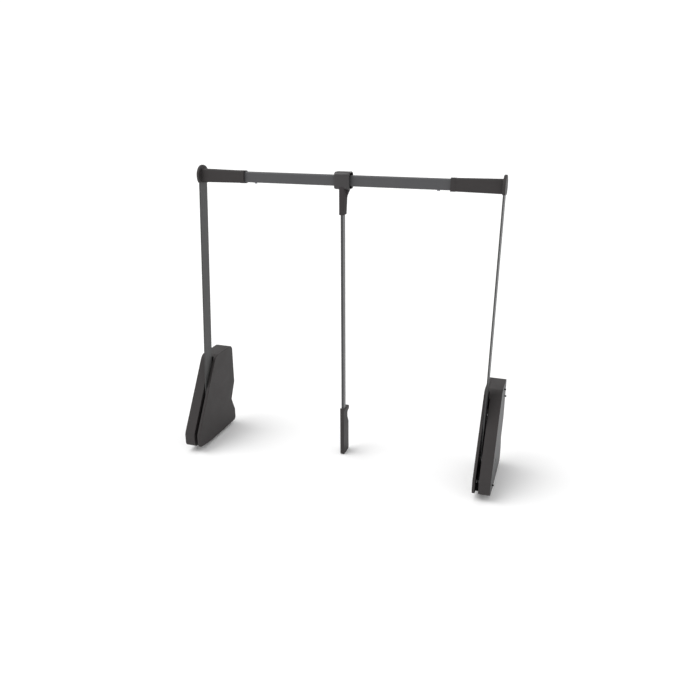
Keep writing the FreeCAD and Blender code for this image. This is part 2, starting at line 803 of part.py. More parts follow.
def make_springs(label):
    """Two compression springs between the yoke and the seat."""
    springs = []
    start = "(%s + yoke_height + spring_wire + spring_gap)" % yoke_z
    height = "(%s - spring_wire - spring_gap - %s)" % (seat_height, start)
    for y in ("spring_front", "spring_back"):
        coil = doc.addObject("Part::Helix", label + "_coil")
        bind(coil, "Height", height)
        bind(coil, "Pitch", "%s / spring_turns" % height)
        bind(coil, "Radius", "spring_radius")
        wire = doc.addObject("Part::Circle", label + "_wire")
        wire.Placement = FreeCAD.Placement(Vector(0, 0, 0), FreeCAD.Rotation(Vector(1, 0, 0), 90))
        bind(wire, "Radius", "spring_wire")
        bind(wire, "Placement.Base.x", "spring_radius")
        spring = doc.addObject("Part::Sweep", label + "_spring")
        spring.Sections = [wire]
        spring.Spine = (coil, ["Edge1"])
        spring.Solid = True
        spring.Frenet = True
        bind(spring, "Placement.Base.x", gear_centre)
        bind(spring, "Placement.Base.y", y)
        bind(spring, "Placement.Base.z", start)
        springs.append(spring)
    return group(label, springs)


def make_damper_body(label):
    """Oil damper cylinder, closed at the top under the seat."""
    foot = "(%s - damper_length)" % seat_height
    hollow = "(damper_length - damper_cap - damper_wall * 2)"
    outside = cylinder_z(label + "_outside", gear_centre, "damper_y", foot, "damper_length", "damper_radius")
    chamber = cylinder_z(label + "_chamber", gear_centre, "damper_y", foot + " + damper_cap", hollow,
                         "damper_radius - damper_wall")
    neck = cylinder_z(label + "_neck", gear_centre, "damper_y", foot, "damper_cap",
                      "damper_rod + running_gap")
    tube = cut(label, outside, fuse(label + "_inside", chamber, neck))
    tube.Label = label
    return tube


# Rack group, slides up as the arm comes down

def make_rack(label):
    """Rack that the pinion lifts; straight-sided teeth face the pivot."""
    body = new_body(label)
    side = new_sketch(body, label + "_side", offset="gear_x")
    rectangle(side, rack_front, rack_foot, rack_back, yoke_z)
    pad(body, side, label + "_bar", "gear_width")
    tooth = new_sketch(body, label + "_tooth", offset="gear_x")
    half_pitch = "((pi * module - backlash) / 4)"
    slope = "tan(pressure_angle)"
    tip = "(%s - module)" % rack_y
    root = "(%s + 0.3)" % rack_front
    tip_half = "(%s - module * %s)" % (half_pitch, slope)
    root_half = "(%s + (1.25 * module + 0.3) * %s)" % (half_pitch, slope)
    lowest = "(pivot_z - pi * module * floor(%s / (pi * module) + 1))" % travel
    polygon(tooth, [(root, "%s - %s" % (lowest, root_half)), (root, "%s + %s" % (lowest, root_half)),
                    (tip, "%s + %s" % (lowest, tip_half)), (tip, "%s - %s" % (lowest, tip_half))])
    first = pad(body, tooth, label + "_tooth_pad", "gear_width")
    row = body.newObject("PartDesign::LinearPattern", label + "_teeth")
    row.Originals = [first]
    row.Direction = (origin_plane(body, "Z_Axis"), [""])
    row.Occurrences = int(number("floor(%s / (pi * module) + 1) + 3" % travel))
    bind(row, "Length", "pi * module * %d" % (row.Occurrences - 1))
    body.Tip = row
    doc.recompute()
    return body


def make_yoke(label):
    """Cross bar on the rack that lifts both springs and the damper rod."""
    body = new_body(label)
    top = new_sketch(body, label + "_top", plane="XY_Plane", offset=yoke_z)
    rectangle(top, gear_centre + " - yoke_width / 2", rack_front, gear_centre + " + yoke_width / 2",
              "yoke_reach")
    pad(body, top, label + "_bar", "yoke_height")
    holes = new_sketch(body, label + "_holes", plane="XY_Plane", offset=yoke_z)
    for y in ("spring_front", "spring_back"):
        circle(holes, gear_centre, y, "guide_rod_radius + guide_hole_gap")
    circle(holes, gear_centre, "damper_y", "damper_rod + seat_gap")
    pocket(body, holes, label + "_hole_cut", "yoke_height", forwards=True)
    return body


def make_damper_rod(label):
    """Damper rod, fixed in the yoke, with its piston inside the cylinder."""
    piston_foot = "(%s - damper_length + damper_cap + piston_gap_below)" % seat_height
    rod = cylinder_z(label + "_rod", gear_centre, "damper_y", yoke_z, piston_foot + " - " + yoke_z,
                     "damper_rod")
    piston = cylinder_z(label + "_piston", gear_centre, "damper_y", piston_foot, "piston_height",
                        "damper_radius - damper_wall - piston_gap")
    joined = fuse(label, rod, piston)
    joined.Label = label
    return joined


# Arm group, turns about the pivot

def make_pivot_hub(label):
    """Turned shaft with a flange that carries the arm, and two flats that drive the pinion."""
    body = new_body(label)
    lean_about(body, "pivot_y", "pivot_z")
    profile = new_sketch(body, label + "_profile", plane="XY_Plane")
    journal_end = "(wall_plate + boss_height + 0.2)"
    flange_x = "(case_depth + flange_gap)"
    steps = [
        ("journal_inset", "0"), ("journal_inset", "journal_radius"),
        (journal_end, "journal_radius"), (journal_end, "shaft_radius"),
        (flange_x, "shaft_radius"), (flange_x, "flange_radius"),
        (arm_x, "flange_radius"), (arm_x, "spigot_radius"),
        (arm_face, "spigot_radius"), (arm_face, "stub_radius"),
        (cover_x + " + stub_length", "stub_radius"), (cover_x + " + stub_length", "0"),
    ]
    polygon(profile, steps)
    turned = body.newObject("PartDesign::Revolution", label + "_turned")
    turned.Profile = profile
    turned.ReferenceAxis = (profile, ["H_Axis"])
    body.Tip = turned
    doc.recompute()
    flats = new_sketch(body, label + "_flats", offset="gear_x + gear_width + 0.5")
    for side in ("-1", "1"):
        near = "(%s * flat_width / 2)" % side
        far = "(%s * (shaft_radius + 1))" % side
        low, high = (far, near) if side == "-1" else (near, far)
        rectangle(flats, low, "-shaft_radius", high, "shaft_radius")
    pocket(body, flats, label + "_flat_cut", "gear_x + gear_width + 0.5 - " + journal_end)
    holes = new_sketch(body, label + "_holes", offset=arm_x)
    for y, z in rivet_places():
        circle(holes, y, z, "rivet_radius + seat_gap")
    pocket(body, holes, label + "_hole_cut", "%s - %s" % (arm_x, flange_x))
    return body


def rivet_places():
    """Three places round the pivot, in the frame of the pivot."""
    return [("(rivet_circle * cos(%d))" % angle, "(rivet_circle * sin(%d))" % angle)
            for angle in (-30, 90, 210)]


def involute(base_radius, radius):
    """Angle round the gear of the involute at this radius."""
    roll = math.sqrt((radius / base_radius) ** 2 - 1)
    return roll - math.atan(roll)


def make_pinion(label):
    """Involute pinion that drives the rack; a tooth gap faces the rack when the arm is upright."""
    module = number("module")
    teeth = int(number("teeth"))
    pitch = module * teeth / 2
    base = pitch * math.cos(math.radians(number("pressure_angle")))
    tip = pitch + module
    root = pitch - 1.25 * module
    half_tooth = math.pi / (2 * teeth) - number("backlash") / (2 * pitch)
    half_base = half_tooth + involute(base, pitch)

    def at(radius, angle):
        return Vector(0, radius * math.cos(angle), radius * math.sin(angle))

    def arc(radius, start, end):
        ends = at(radius, start), at(radius, (start + end) / 2), at(radius, end)
        return Part.Arc(*ends).toShape()

    edges = []
    for tooth in range(teeth):
        middle_angle = (tooth + 0.5) * 2 * math.pi / teeth
        next_angle = middle_angle + 2 * math.pi / teeth
        radii = [base + (tip - base) * step / 5 for step in range(6)]
        rising = [at(r, middle_angle - half_base + involute(base, r)) for r in radii]
        falling = [at(r, middle_angle + half_base - involute(base, r)) for r in reversed(radii)]
        foot = at(root, middle_angle - half_base)
        heel = at(root, middle_angle + half_base)
        for flank in ([foot] + rising[:1], rising, falling, falling[-1:] + [heel]):
            if len(flank) == 2:
                edges.append(Part.makeLine(flank[0], flank[1]))
            else:
                curve = Part.BSplineCurve()
                curve.interpolate(flank)
                edges.append(curve.toShape())
        edges.append(arc(tip, middle_angle - half_base + involute(base, tip),
                         middle_angle + half_base - involute(base, tip)))
        edges.append(arc(root, middle_angle + half_base, next_angle - half_base))
    blank = Part.Face(Part.Wire(Part.__sortEdges__(edges))).extrude(Vector(number("gear_width"), 0, 0))
    bore = number("shaft_radius + seat_gap")
    flat = number("flat_width / 2 + seat_gap")
    hole = Part.makeCylinder(bore, number("gear_width"), Vector(0, 0, 0), Vector(1, 0, 0))
    slab = Part.makeBox(number("gear_width"), 2 * flat, 2 * bore, Vector(0, -flat, -bore))
    slab.rotate(Vector(0, 0, 0), Vector(-1, 0, 0), number("arm_lean"))
    pinion = doc.addObject("Part::Feature", label)
    pinion.Shape = blank.cut(hole.common(slab))
    pinion.Label = label
    bind(pinion, "Placement.Base.x", "gear_x")
    bind(pinion, "Placement.Base.y", "pivot_y")
    bind(pinion, "Placement.Base.z", "pivot_z")
    return pinion


def make_arm(label):
    """Flat steel arm with round ends."""
    body = new_body(label)
    lean_about(body, "pivot_y", "pivot_z")
    outline = new_sketch(body, label + "_outline", offset=arm_x)
    stadium(outline, "0", "arm_length / 2", "arm_length + arm_width", "arm_width")
    pad(body, outline, label + "_bar", "arm_thickness")
    fillet(body, label + "_rounding", "arm_edge", lies_flat)
    holes = new_sketch(body, label + "_holes", offset=arm_face)
    circle(holes, "0", "0", "spigot_radius + seat_gap")
    for y, z in rivet_places():
        circle(holes, y, z, "rivet_radius + seat_gap")
    for side in ("-1", "1"):
        circle(holes, "0", "arm_length + %s * end_screw_pitch / 2" % side, "end_screw_radius + seat_gap")
    pocket(body, holes, label + "_hole_cut", "arm_thickness")
    return body


def make_hub_rivets(label):
    """Rivets that fix the arm to the hub flange."""
    flange_x = "(case_depth + flange_gap)"
    rivets = [cylinder_x(label + "_rivet", flange_x, "%s - %s" % (arm_face, flange_x), y, z, "rivet_radius")
              for y, z in rivet_places()]
    bundle = group(label, rivets)
    lean_about(bundle, "pivot_y", "pivot_z")
    return bundle


def cap_flat(body, name, x, length):
    """Flat underside of the cap round the arm's end."""
    below = new_sketch(body, name, offset=x)
    rectangle(below, "-disc_radius - 1", "-disc_radius - 1", "disc_radius + 1", "-disc_drop")
    pocket(body, below, name + "_cut", length, forwards=True)


def make_sleeve(label):
    """Plastic end sleeve that the rail slides in. Its root flange wraps round the arm's end."""
    body = new_body(label)
    lean_about(body, rod_y, rod_z)
    flange = new_sketch(body, label + "_flange", offset=arm_x)
    circle(flange, "0", "0", "disc_radius")
    pad(body, flange, label + "_flange_pad", sleeve_width)
    cap_flat(body, label + "_flat", arm_x, sleeve_width)
    fillet(body, label + "_rounding", "disc_edge", lies_at_x(arm_face + " + sleeve_collar_width"))
    sections = []
    for place, height, depth in ((arm_face, "sleeve_root_height", "sleeve_root_depth"),
                                 ("sleeve_end", "sleeve_tip_height", "sleeve_tip_depth")):
        section = new_sketch(body, label + "_section%d" % len(sections), offset=place)
        sleeve_section(section, height, depth, "sleeve_round")
        sections.append(section)
    loft = body.newObject("PartDesign::AdditiveLoft", label + "_loft")
    loft.Profile = sections[0]
    loft.Sections = [sections[1]]
    body.Tip = loft
    doc.recompute()
    rim = new_sketch(body, label + "_rim", offset="sleeve_end - sleeve_rim")
    sleeve_section(rim, "(sleeve_tip_height + 2 * sleeve_rim_rise)",
                   "(sleeve_tip_depth + 2 * sleeve_rim_rise)", "sleeve_round")
    pad(body, rim, label + "_rim_pad", "sleeve_rim")
    seat = new_sketch(body, label + "_arm_seat", offset=arm_x)
    stadium(seat, "0", "-disc_radius", "arm_width + 2 * seat_gap + 2 * disc_radius",
            "arm_width + 2 * seat_gap")
    pocket(body, seat, label + "_arm_seat_cut", "arm_thickness", forwards=True)
    bore = new_sketch(body, label + "_bore", offset="sleeve_end")
    sleeve_section(bore, "(rail_height + 2 * slide_gap)", "sleeve_bore_depth", "(rail_round + slide_gap)")
    pocket(body, bore, label + "_bore_cut", "sleeve_end - %s - sleeve_floor" % arm_face)
    spigot = new_sketch(body, label + "_spigot", offset=arm_face + " + sleeve_floor - 0.5")
    oval(spigot, "(%s + seat_gap)" % bore_spare)
    pad(body, spigot, label + "_spigot_pad", "spigot_length + 0.5")
    holes = new_sketch(body, label + "_holes", offset=arm_face)
    for side in ("-1", "1"):
        circle(holes, "0", "%s * end_screw_pitch / 2" % side, "end_screw_radius + seat_gap")
    depth = "(end_screw_length - arm_thickness)"
    pocket(body, holes, label + "_hole_cut", depth, forwards=True)
    return body


def sleeve_section(sketch, height, depth, radius):
    rounded_outline(sketch, [("(%s * %s / 2)" % (a, depth), "(%s * %s / 2)" % (b, height), radius)
                             for a, b in (("-1", "-1"), ("1", "-1"), ("1", "1"), ("-1", "1"))])


def make_end_disc(label):
    """Outer half of the cap round the arm's top end."""
    body = new_body(label)
    lean_about(body, rod_y, rod_z)
    start = "(%s - disc_thickness)" % arm_x
    outline = new_sketch(body, label + "_outline", offset=start)
    circle(outline, "0", "0", "disc_radius")
    pad(body, outline, label + "_disc", "disc_thickness")
    cap_flat(body, label + "_flat", start, "disc_thickness")
    fillet(body, label + "_rounding", "disc_edge", lies_at_x(start))
    recess = new_sketch(body, label + "_recess", offset=arm_x)
    for side in ("-1", "1"):
        circle(recess, "0", "%s * end_screw_pitch / 2" % side, "end_screw_head + seat_gap")
    pocket(body, recess, label + "_recess_cut", "end_screw_cap + 4 * seat_gap")
    return body


def make_end_screws(label):
    """Screws under the end cap that hold the sleeve to the arm."""
    screws = []
    for side in ("-1", "1"):
        z = "(%s * end_screw_pitch / 2)" % side
        head = cylinder_x(label + "_head", arm_x + " - end_screw_cap", "end_screw_cap", "0", z,
                          "end_screw_head")
        shank = cylinder_x(label + "_shank", arm_x, "end_screw_length - 0.5", "0", z, "end_screw_radius")
        screws.append(fuse(label + "_screw", head, shank))
    bundle = group(label, screws)
    lean_about(bundle, rod_y, rod_z)
    return bundle


def make_inner_tube(label):
    """Oval tube fixed to the arm that the rail slides over."""
    body = new_body(label)
    lean_about(body, rod_y, rod_z)
    start = arm_face + " + sleeve_floor"
    section = new_sketch(body, label + "_section", offset=start)
    oval(section, inner_spare)
    oval(section, bore_spare)
    pad(body, section, label + "_tube", "sleeve_end + inner_reach - (%s)" % start)
    return body


# Rail group, between the arms

def make_rail_tube(label):
    """Oval hanging rail, with a clearance hole below for each clamp screw."""
    body = new_body(label)
    lean_about(body, rod_y, rod_z)
    bind(body, "Placement.Base.x", middle)
    section = new_sketch(body, label + "_section")
    oval(section)
    oval(section, "rail_wall")
    pad(body, section, label + "_tube", "span - 2 * %s" % rail_end, both_ways=True)
    holes = new_sketch(body, label + "_holes", plane="XY_Plane", offset="-rail_height / 2 - 1")
    for side in ("-1", "1"):
        circle(holes, "%s * (span / 2 - %s)" % (side, set_screw_place), "0", "set_screw_radius + seat_gap")
    pocket(body, holes, label + "_hole_cut", "rail_wall + 2", forwards=True)
    return body


def make_set_screws(label):
    """Clamp screws under the rail that fix its length on the inner tubes."""
    screws = []
    bottom = "(-rail_height / 2)"
    for side in ("-1", "1"):
        x = "(%s * (span / 2 - %s))" % (side, set_screw_place)
        head = cylinder_z(label + "_head", x, "0", bottom + " - set_screw_head_height",
                          "set_screw_head_height", "set_screw_head")
        shank = cylinder_z(label + "_shank", x, "0", bottom, "rail_wall + slide_gap / 2",
                           "set_screw_radius")
        screws.append(fuse(label + "_screw", head, shank))
    bundle = group(label, screws)
    lean_about(bundle, rod_y, rod_z)
    bind(bundle, "Placement.Base.x", middle)
    return bundle


def make_collar_bush(label):
    """Two half bushes clamped round the oval rail, round outside, that the pull handle turns on."""
    body = new_body(label + "_ring")
    section = new_sketch(body, label + "_section")
    circle(section, "0", "0", "bush_radius")
    oval(section, "(-bush_seat)")
    pad(body, section, label + "_ring_pad", "web_width", both_ways=True)
    saw = doc.addObject("Part::Box", label + "_saw")
    for path, text in (("Length", "web_width"), ("Width", "bush_split"), ("Height", "3 * bush_radius"),
                       ("Placement.Base.x", "-web_width / 2"), ("Placement.Base.y", "-bush_split / 2"),
                       ("Placement.Base.z", "-1.5 * bush_radius")):
        bind(saw, path, text)
    halves = cut(label, body, saw)
    halves.Label = label
    lean_about(halves, rod_y, rod_z)
    bind(halves, "Placement.Base.x", middle)
    return halves


# Handle group, hangs from the rail and turns about it

def place_on_rail(thing):
    for path, text in (("Placement.Base.x", middle), ("Placement.Base.y", rod_y),
                       ("Placement.Base.z", rod_z)):
        bind(thing, path, text)


def make_collar(label):
    """Moulded collar round the rail with the socket for the handle bar below it."""
    body = new_body(label)
    place_on_rail(body)
    section = new_sketch(body, label + "_section")
    outer = [("-collar_front", "-collar_drop"), ("collar_back", "-collar_drop"),
             ("collar_back", "collar_rise"), ("-collar_front", "collar_rise")]
    rounded_outline(section, [(y, z, "collar_round") for y, z in outer])
    pad(body, section, label + "_block", "collar_width", both_ways=True)
    fillet(body, label + "_rounding", "collar_edge", lies_flat)
    floor = "(-collar_drop + collar_wall)"
    socket = new_sketch(body, label + "_socket", plane="XY_Plane", offset="socket_bottom")
    back = "(socket_depth - collar_front)"
    edges = [("(-socket_width / 2)", "-collar_front"), ("(socket_width / 2)", "-collar_front"),
             ("(socket_width / 2)", back), ("(-socket_width / 2)", back)]
    rounded_outline(socket, [(x, y, "socket_round") for x, y in edges])
    pad(body, socket, label + "_socket_pad", floor + " - socket_bottom")
    rib = new_sketch(body, label + "_rib", plane="XY_Plane", offset="socket_bottom + socket_round")
    rectangle(rib, "-socket_width / 2 + socket_round", "-collar_front",
              "socket_width / 2 - socket_round", "-collar_front + collar_wall")
    pad(body, rib, label + "_rib_pad", "collar_round - collar_drop - socket_bottom - socket_round")
    lower = new_sketch(body, label + "_gusset_foot", plane="XY_Plane", offset="gusset_foot")
    rectangle(lower, "-socket_width / 2 + 1", "0", "socket_width / 2 - 1", back + " - 1")
    upper = new_sketch(body, label + "_gusset_head", plane="XY_Plane", offset=floor)
    rectangle(upper, "-gusset_width / 2", "0", "gusset_width / 2", "gusset_back")
    gusset = body.newObject("PartDesign::AdditiveLoft", label + "_gusset")
    gusset.Profile = lower
    gusset.Sections = [upper]
    body.Tip = gusset
    doc.recompute()
    inner = [("(-collar_front + collar_wall)", floor), ("(collar_back - collar_wall)", floor),
             ("(collar_back - collar_wall)", "(collar_rise - collar_wall)"),
             ("(-collar_front + collar_wall)", "(collar_rise - collar_wall)")]
    for side, forwards in (("1", True), ("-1", False)):
        cavity = new_sketch(body, label + "_cavity" + ("_right" if forwards else "_left"),
                            offset="%s * web_width / 2" % side)
        rounded_outline(cavity, [(y, z, "(collar_round - collar_wall)") for y, z in inner])
        pocket(body, cavity, cavity.Name + "_cut", "collar_width", forwards=forwards)
    bore = new_sketch(body, label + "_bore", offset="-web_width / 2")
    circle(bore, "0", "0", "bush_radius + running_gap")
    pocket(body, bore, label + "_bore_cut", "web_width", forwards=True)
    slot = new_sketch(body, label + "_slot", plane="XY_Plane", offset="socket_bottom")
    bar_section(slot, "bar_gap")
    pocket(body, slot, label + "_slot_cut", "bar_top - socket_bottom + 1", forwards=True)
    pin = new_sketch(body, label + "_pin", offset="-socket_width")
    circle(pin, "bar_centre", "socket_pin", "pin_radius + seat_gap")
    pocket(body, pin, label + "_pin_cut", "2 * socket_width", forwards=True)
    return body


def bar_section(sketch, gap):
    """The flat bar's section, grown all round by the gap."""
    corners = [("(%s * (bar_width / 2 + %s))" % (a, gap), "(bar_centre + %s * (bar_depth / 2 + %s))" % (b, gap),
                "bar_edge") for a, b in (("-1", "-1"), ("1", "-1"), ("1", "1"), ("-1", "1"))]
    rounded_outline(sketch, corners)


def make_handle_bar(label):
    """Flat steel bar between the collar and the grip."""
    body = new_body(label)
    place_on_rail(body)
    section = new_sketch(body, label + "_section", plane="XY_Plane", offset="bar_bottom")
    bar_section(section, "0")
    pad(body, section, label + "_bar", "bar_top - bar_bottom")
    pins = new_sketch(body, label + "_pins", offset="-bar_width")
    for z in ("socket_pin", "grip_pin"):
        circle(pins, "bar_centre", z, "pin_radius + seat_gap")
    pocket(body, pins, label + "_pin_cut", "2 * bar_width", forwards=True)
    return body


def make_handle_pins(label):
    """Spring pins across the socket and across the grip."""
    pins = []
    for z, width in (("socket_pin", "socket_width"), ("grip_pin", "grip_width")):
        pins.append(cylinder_x(label + "_pin", "pin_inset - %s / 2" % width, "%s - 2 * pin_inset" % width,
                               "bar_centre", z, "pin_radius"))
    bundle = group(label, pins)
    place_on_rail(bundle)
    return bundle


def make_grip(label):
    """Flat hand grip with a finger recess and a horn at its back, and a dip where the bar goes in."""
    body = new_body(label)
    place_on_rail(body)
    saddle_front = "(grip_front + shoulder_width)"
    side = new_sketch(body, label + "_side")
    rounded_outline(side, [
        ("grip_front", "grip_bottom", "6"), ("grip_back", "grip_bottom", "6"),
        ("grip_back", "grip_swell", "10"), ("grip_neck", "grip_neck_low", "10"),
        ("grip_neck", "grip_neck_high", "5"), ("horn_tip", "horn_low", "4"),
        ("horn_tip", "horn_top", "6"), ("horn_front", "horn_top", "3"),
        ("saddle_y", "saddle", "2"), (saddle_front, "saddle", "2"),
        (saddle_front, "grip_shoulder", "3"), ("grip_front", "grip_shoulder", "4"),
    ])
    pad(body, side, label + "_block", "grip_width", both_ways=True)
    fillet(body, label + "_rounding", "grip_round", lies_flat)
    top = "(max(grip_shoulder; horn_top) + 1)"
    slot = new_sketch(body, label + "_slot", plane="XY_Plane", offset=top)
    bar_section(slot, "bar_gap")
    pocket(body, slot, label + "_slot_cut", top + " - bar_bottom + 1")
    pin = new_sketch(body, label + "_pin", offset="-grip_width")
    circle(pin, "bar_centre", "grip_pin", "pin_radius + seat_gap")
    pocket(body, pin, label + "_pin_cut", "2 * grip_width", forwards=True)
    return body


def mirror(piece, label):
    """The same piece on the right, mirrored about the middle of the span."""
    twin = doc.addObject("Part::Mirroring", label)
    twin.Source = piece
    twin.Normal = Vector(1, 0, 0)
    bind(twin, "Base.x", middle)
    twin.Label = label
    return twin


side_pieces = [
    ("wall_plate", make_wall_plate),
    ("wall_pegs", make_wall_pegs),
    ("case", make_case),
    ("side_plate", make_side_plate),
    ("standoffs", make_standoffs),
    ("pivot_bushes", make_pivot_bushes),
    ("cover", make_cover),
    ("cover_spacers", make_cover_spacers),
    ("cover_screws", make_cover_screws),
    ("stop_rubbers", make_stop_rubbers),
    ("rack_guide", make_rack_guide),
    ("spring_seat", make_spring_seat),
    ("guide_rods", make_guide_rods),
    ("springs", make_springs),
    ("damper_body", make_damper_body),
    ("rack", make_rack),
    ("yoke", make_yoke),
    ("damper_rod", make_damper_rod),
    ("pivot_hub", make_pivot_hub),
    ("pinion", make_pinion),
    ("arm", make_arm),
    ("hub_rivets", make_hub_rivets),
    ("sleeve", make_sleeve),
    ("end_disc", make_end_disc),
    ("end_screws", make_end_screws),
    ("inner_tube", make_inner_tube),
]
middle_pieces = [
    ("rail_tube", make_rail_tube),
    ("set_screws", make_set_screws),
    ("collar_bush", make_collar_bush),
    ("collar", make_collar),
    ("handle_bar", make_handle_bar),
    ("handle_pins", make_handle_pins),
    ("grip", make_grip),
]

parts = []
for name, maker in side_pieces:
    left = maker("left_" + name)
    doc.recompute()
    parts += [left, mirror(left, "right_" + name)]
for name, maker in middle_pieces:
    parts.append(maker(name))
doc.recompute()

for thing in doc.Objects:
    if "Invalid" in thing.State or "Error" in thing.State:
        raise ValueError("%s failed: %s" % (thing.Label, thing.State))
for part in parts:
    if part.Shape.isNull() or not part.Shape.isValid():
        raise ValueError("%s has no valid shape" % part.Label)

os.makedirs("parts", exist_ok=True)
for part in parts:
    part.Shape.exportStep("parts/%s.step" % part.Label)
    print(part.Label, len(part.Shape.Solids), round(part.Shape.Volume, 1))
print(len(parts), "nodes")
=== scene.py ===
import bpy
import bmesh
import json
import math
from mathutils import Matrix, Vector


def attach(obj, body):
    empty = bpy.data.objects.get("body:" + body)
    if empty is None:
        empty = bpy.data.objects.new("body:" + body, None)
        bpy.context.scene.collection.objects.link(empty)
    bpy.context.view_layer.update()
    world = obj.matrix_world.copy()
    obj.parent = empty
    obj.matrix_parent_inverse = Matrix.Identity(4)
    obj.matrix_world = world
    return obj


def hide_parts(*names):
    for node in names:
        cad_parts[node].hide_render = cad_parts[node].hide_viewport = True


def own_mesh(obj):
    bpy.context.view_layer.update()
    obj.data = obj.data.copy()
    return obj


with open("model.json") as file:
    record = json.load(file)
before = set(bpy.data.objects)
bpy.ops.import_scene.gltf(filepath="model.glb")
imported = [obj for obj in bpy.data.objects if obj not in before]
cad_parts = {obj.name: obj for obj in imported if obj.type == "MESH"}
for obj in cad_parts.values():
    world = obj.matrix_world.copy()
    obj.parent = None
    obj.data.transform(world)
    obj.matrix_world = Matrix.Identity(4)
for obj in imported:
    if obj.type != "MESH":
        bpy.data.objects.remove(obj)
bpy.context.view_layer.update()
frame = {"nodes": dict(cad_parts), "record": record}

nodes = frame["nodes"]
millimetre = 0.001
print("frame loaded:", len(nodes), "nodes")


# small helpers

def linearColour(hexValue):
    channels = [int(hexValue[i:i + 2], 16) / 255 for i in (1, 3, 5)]
    return [c / 12.92 if c <= 0.04045 else ((c + 0.055) / 1.055) ** 2.4 for c in channels] + [1.0]


def addNode(tree, kind, settings=None, links=None, **attributes):
    node = tree.nodes.new(kind)
    for name, value in attributes.items():
        setattr(node, name, value)
    for socket, value in (settings or {}).items():
        node.inputs[socket].default_value = value
    for socket, source in (links or {}).items():
        tree.links.new(source, node.inputs[socket])
    return node


def startMaterial(name):
    material = bpy.data.materials.new(name)
    material.use_nodes = True
    tree = material.node_tree
    tree.nodes.clear()
    coordinates = addNode(tree, "ShaderNodeTexCoord").outputs["Object"]
    return material, tree, coordinates


def finishMaterial(material, tree, shader):
    addNode(tree, "ShaderNodeOutputMaterial", links={"Surface": shader.outputs[0]})
    return material


def mixColours(tree, factor, base, pale):
    return addNode(tree, "ShaderNodeMix", {"A": linearColour(base), "B": linearColour(pale)},
                   {"Factor": factor}, data_type="RGBA").outputs["Result"]


def spread(tree, source, low, high, fromLow=0.3, fromHigh=0.7):
    # stretches a noise's middle values to a range of its own
    return addNode(tree, "ShaderNodeMapRange",
                   {"From Min": fromLow, "From Max": fromHigh, "To Min": low, "To Max": high},
                   {"Value": source}).outputs[0]


def scaleColour(tree, colour, amount):
    return addNode(tree, "ShaderNodeVectorMath", links={0: colour, "Scale": amount},
                   operation="SCALE").outputs["Vector"]


# Moulded nylon: glass filled, spark eroded mould, so a fine matt grain with a soft highlight.
# The real grain is 0.15 mm and too fine to show, so it is drawn at 0.7 mm.
mouldedNylon = {
    "base": "#2e2b2b", "pale": "#363333", "grain": 0.7, "cloud": 45, "roughness": (0.52, 0.62),
    "specular": 0.24, "bump": 0.22, "bumpDepth": 0.00012, "ior": 1.53,
}


def makeMouldedNylon(name, look):
    material, tree, place = startMaterial(name)
    grain = addNode(tree, "ShaderNodeTexNoise",
                    {"Scale": 1000 / look["grain"], "Detail": 3, "Roughness": 0.6}, {"Vector": place})
    cloud = addNode(tree, "ShaderNodeTexNoise",
                    {"Scale": 1000 / look["cloud"], "Detail": 4, "Roughness": 0.55}, {"Vector": place})
    tint = mixColours(tree, cloud.outputs["Fac"], look["base"], look["pale"])
    speck = spread(tree, grain.outputs["Fac"], 0.94, 1.05, 0.35, 0.7)
    colour = scaleColour(tree, tint, speck)
    gloss = spread(tree, cloud.outputs["Fac"], *look["roughness"])
    relief = addNode(tree, "ShaderNodeBump", {"Strength": look["bump"], "Distance": look["bumpDepth"]},
                     {"Height": grain.outputs["Fac"]})
    shader = addNode(tree, "ShaderNodeBsdfPrincipled",
                     {"IOR": look["ior"], "Specular IOR Level": look["specular"]},
                     {"Base Color": colour, "Roughness": gloss, "Normal": relief.outputs[0]})
    return finishMaterial(material, tree, shader)


# Powder coat: thermoset polyester baked on steel, so a low orange peel and fine dark specks.
# Orange peel waves are about 1.5 mm across.
powderCoat = {
    "peel": 1.5, "speck": 0.6, "cloudScale": 18, "roughness": (0.4, 0.5), "specular": 0.4,
    "bump": 0.25, "bumpDepth": 0.0001, "ior": 1.5,
}


def makePowderCoat(name, look, base, pale):
    material, tree, place = startMaterial(name)
    peel = addNode(tree, "ShaderNodeTexNoise", {"Scale": 1000 / look["peel"], "Detail": 2}, {"Vector": place})
    speck = addNode(tree, "ShaderNodeTexNoise", {"Scale": 1000 / look["speck"], "Detail": 2},
                    {"Vector": place})
    cloud = addNode(tree, "ShaderNodeTexNoise", {"Scale": look["cloudScale"], "Detail": 3}, {"Vector": place})
    tint = mixColours(tree, cloud.outputs["Fac"], base, pale)
    fleck = spread(tree, speck.outputs["Fac"], 0.93, 1.04, 0.3, 0.65)
    colour = scaleColour(tree, tint, fleck)
    gloss = spread(tree, peel.outputs["Fac"], *look["roughness"])
    relief = addNode(tree, "ShaderNodeBump", {"Strength": look["bump"], "Distance": look["bumpDepth"]},
                     {"Height": peel.outputs["Fac"]})
    shader = addNode(tree, "ShaderNodeBsdfPrincipled",
                     {"IOR": look["ior"], "Specular IOR Level": look["specular"]},
                     {"Base Color": colour, "Roughness": gloss, "Normal": relief.outputs[0]})
    return finishMaterial(material, tree, shader)


# Bare metals: rolled, drawn or turned steel, with lines along the way it was made.
# Lines are drawn 0.5 mm apart and 40 times as long.
bareSteel = {"line": 0.5, "stretch": 40, "cloudScale": 30, "bump": 0.12, "bumpDepth": 0.00005}


